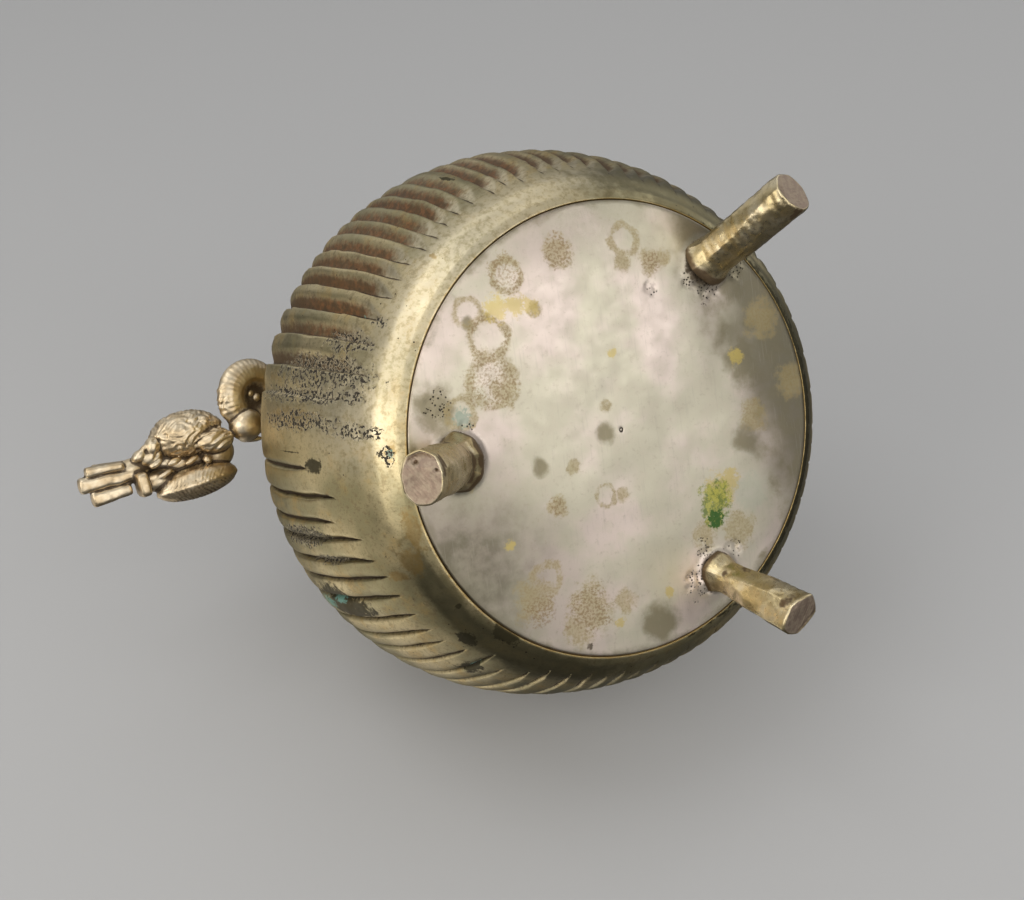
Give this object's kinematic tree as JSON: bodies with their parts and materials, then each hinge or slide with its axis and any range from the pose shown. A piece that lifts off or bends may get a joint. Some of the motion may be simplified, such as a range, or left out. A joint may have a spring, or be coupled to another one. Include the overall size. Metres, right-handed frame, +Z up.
{
  "type": "metal reliquary vessel",
  "caption": "Cast metal pot with a fluted globular body on splayed peg legs, closed below by a round plate and open above, with a bird-shaped handle at the shoulder",
  "frame": {"origin": "middle of the bounding box in plan, at the floor under the feet", "axes": "+Z up with the pot standing on its feet; +X is opposite the bird handle, whose tail points to -X"},
  "size_m": [0.1898, 0.1498, 0.138],
  "materials": {
    "body_metal": "cast and worn, grey gold on the ridges, brown in the flutes, spots of green",
    "plate_metal": "silvered and polished, with pitted brown and olive stains",
    "leg_metal": "hammered and filed, cut ends rough and pinkish brown",
    "handle_metal": "cast, polished on the high parts, dark in the hollows"
  },
  "bodies": {
    "root": {"vessel_body": "body_metal", "base_plate": "plate_metal", "leg_below_bird": "leg_metal", "leg_right": "leg_metal", "leg_left": "leg_metal", "bird_handle": "handle_metal"}
  },
  "joints": []
}
